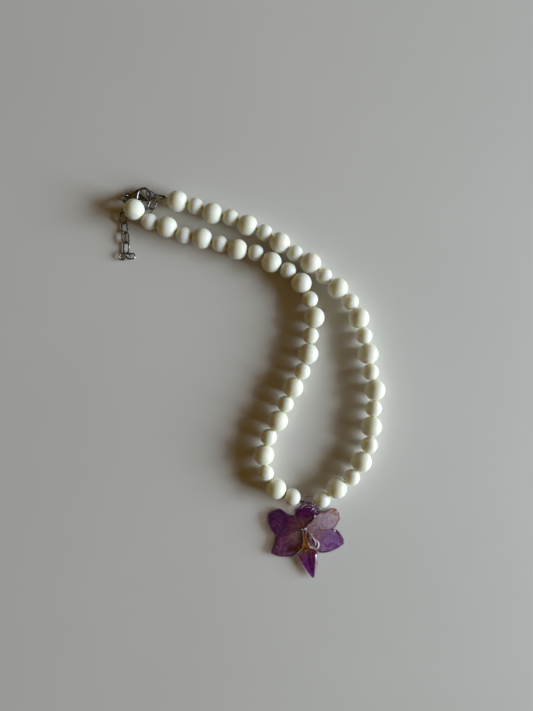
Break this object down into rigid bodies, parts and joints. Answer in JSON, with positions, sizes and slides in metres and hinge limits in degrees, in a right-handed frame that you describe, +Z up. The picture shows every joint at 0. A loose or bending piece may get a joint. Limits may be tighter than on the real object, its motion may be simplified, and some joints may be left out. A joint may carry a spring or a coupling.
{
  "type": "bead necklace with orchid pendant",
  "caption": "Necklace of alternating large and small off-white round beads on a wire, with a lobster clasp, an extender chain and an orchid blossom pendant set in clear resin.",
  "frame": {"origin": "bottom centre of the whole necklace as it lies; z = 0 is the surface it lies on", "axes": "+Z up from the surface, +Y along the longer way from the pendant up to the clasp, +X to the right of the laid-down necklace seen from above"},
  "size_m": [0.13, 0.1926, 0.0118],
  "materials": {
    "bead": "satin off-white shell pearl",
    "wire": "fine stranded steel",
    "fittings": "polished, slightly tarnished silver tone",
    "resin": "clear glossy resin",
    "blossom": "purple petals under clear resin",
    "lip": "deep purple lip under clear resin"
  },
  "bodies": {
    "strands": {"bead_outer_01": "bead", "bead_outer_02": "bead", "bead_outer_03": "bead", "bead_outer_04": "bead", "bead_outer_05": "bead", "bead_outer_06": "bead", "bead_outer_07": "bead", "bead_outer_08": "bead", "bead_outer_09": "bead", "bead_outer_10": "bead", "bead_outer_11": "bead", "bead_outer_12": "bead", "bead_outer_13": "bead", "bead_outer_14": "bead", "bead_outer_15": "bead", "bead_outer_16": "bead", "bead_outer_17": "bead", "bead_outer_18": "bead", "bead_outer_19": "bead", "bead_outer_20": "bead", "bead_outer_21": "bead", "bead_outer_22": "bead", "bead_outer_23": "bead", "bead_outer_24": "bead", "bead_inner_01": "bead", "bead_inner_02": "bead", "bead_inner_03": "bead", "bead_inner_04": "bead", "bead_inner_05": "bead", "bead_inner_06": "bead", "bead_inner_07": "bead", "bead_inner_08": "bead", "bead_inner_09": "bead", "bead_inner_10": "bead", "bead_inner_11": "bead", "bead_inner_12": "bead", "bead_inner_13": "bead", "bead_inner_14": "bead", "bead_inner_15": "bead", "bead_inner_16": "bead", "bead_inner_17": "bead", "bead_inner_18": "bead", "bead_inner_19": "bead", "bead_inner_20": "bead", "bead_inner_21": "bead", "bead_inner_22": "bead", "bead_inner_23": "bead", "bead_inner_24": "bead", "beading_wire": "wire", "crimp_outer": "fittings", "crimp_inner": "fittings", "jump_ring_inner": "fittings", "jump_ring_outer": "fittings", "clasp_body": "fittings", "extender_chain": "fittings"},
    "pendant": {"pendant_resin": "resin", "orchid_blossom": "blossom", "orchid_lip": "lip", "orchid_column": "lip"},
    "clasp_lever": {"clasp_lever": "fittings"}
  },
  "joints": [
    {"name": "pendant_swing", "type": "hinge", "parent": "strands", "child": "pendant", "pos_m": [0.02717, -0.05772, 0.00485], "axis": [-0.9962, 0.0872, 0], "range_deg": [0, 110]},
    {"name": "clasp_lever_hinge", "type": "hinge", "parent": "strands", "child": "clasp_lever", "pos_m": [-0.057, 0.09298, 0.0022], "axis": [0, 0, 1], "range_deg": [0, 20], "stiffness_Nm_per_rad": 0.005, "springref_deg": -8.59}
  ]
}
